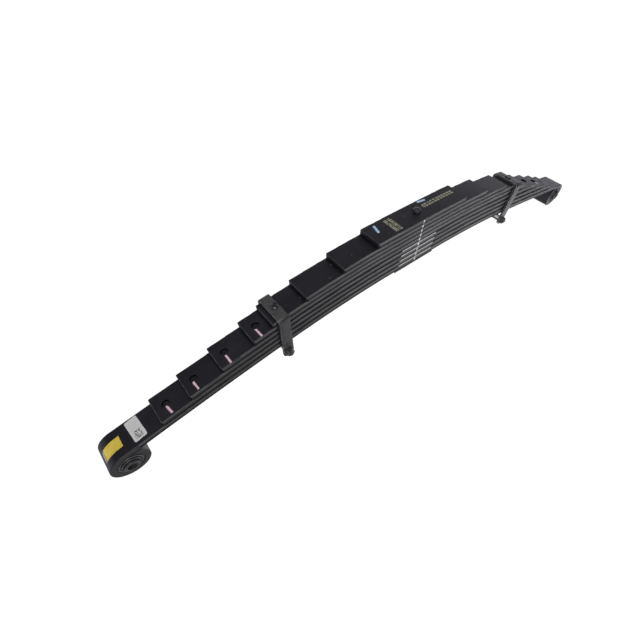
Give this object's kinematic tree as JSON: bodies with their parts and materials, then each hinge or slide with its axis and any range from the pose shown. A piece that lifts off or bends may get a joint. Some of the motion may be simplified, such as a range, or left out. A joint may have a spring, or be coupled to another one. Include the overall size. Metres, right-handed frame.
{
  "type": "leaf spring",
  "caption": "Arched multi-leaf suspension spring with a bushed eye curled at each end, a centre bolt and two bolted clips that hold the leaves in line.",
  "frame": {"origin": "the centre bolt's axis, on the outer face of the shortest leaf, where an axle seat bears", "axes": "+X along the leaves from the left eye to the right one, +Y across the leaves, +Z out of the axle seat"},
  "size_m": [1.531, 0.0915, 0.2708],
  "materials": {
    "leaf_paint": "satin black paint",
    "strap_paint": "worn dark grey paint",
    "zinc_plate": "dull light grey",
    "bolt_steel": "satin, darkened steel",
    "bush_steel": "painted over with the leaves",
    "bush_rubber": "matte",
    "pad_plastic": "matte"
  },
  "bodies": {
    "spring": {"main_leaf": "leaf_paint", "second_leaf": "leaf_paint", "third_leaf": "leaf_paint", "fourth_leaf": "leaf_paint", "fifth_leaf": "leaf_paint", "sixth_leaf": "leaf_paint", "seventh_leaf": "leaf_paint", "eighth_leaf": "leaf_paint", "ninth_leaf": "leaf_paint", "seat_spacer_1": "zinc_plate", "seat_spacer_2": "zinc_plate", "seat_spacer_3": "zinc_plate", "seat_spacer_4": "zinc_plate", "tip_pad_2_left": "pad_plastic", "tip_pad_3_left": "pad_plastic", "tip_pad_4_left": "pad_plastic", "tip_pad_5_left": "pad_plastic", "tip_pad_2_right": "pad_plastic", "tip_pad_3_right": "pad_plastic", "tip_pad_4_right": "pad_plastic", "tip_pad_5_right": "pad_plastic", "clamp_plate": "strap_paint", "centre_bolt": "bolt_steel", "centre_nut": "bolt_steel", "clip_strap_left": "strap_paint", "clip_strap_right": "strap_paint", "clip_tube_left": "strap_paint", "clip_tube_right": "strap_paint", "clip_rivets": "bolt_steel", "clip_bolts": "bolt_steel", "clip_nuts": "bolt_steel", "bush_shell_left": "bush_steel", "bush_rubber_left": "bush_rubber", "bush_shell_right": "bush_steel", "bush_rubber_right": "bush_rubber"},
    "left_sleeve": {"bush_sleeve_left": "bush_steel"},
    "right_sleeve": {"bush_sleeve_right": "bush_steel"}
  },
  "joints": [
    {"name": "left_bush_twist", "type": "hinge", "parent": "spring", "child": "left_sleeve", "pos_m": [-0.72806, 0, -0.22429], "axis": [0, 1, 0], "range_deg": [-18, 18], "stiffness_Nm_per_rad": 4},
    {"name": "right_bush_twist", "type": "hinge", "parent": "spring", "child": "right_sleeve", "pos_m": [0.72806, 0, -0.22429], "axis": [0, 1, 0], "range_deg": [-18, 18], "stiffness_Nm_per_rad": 4}
  ]
}
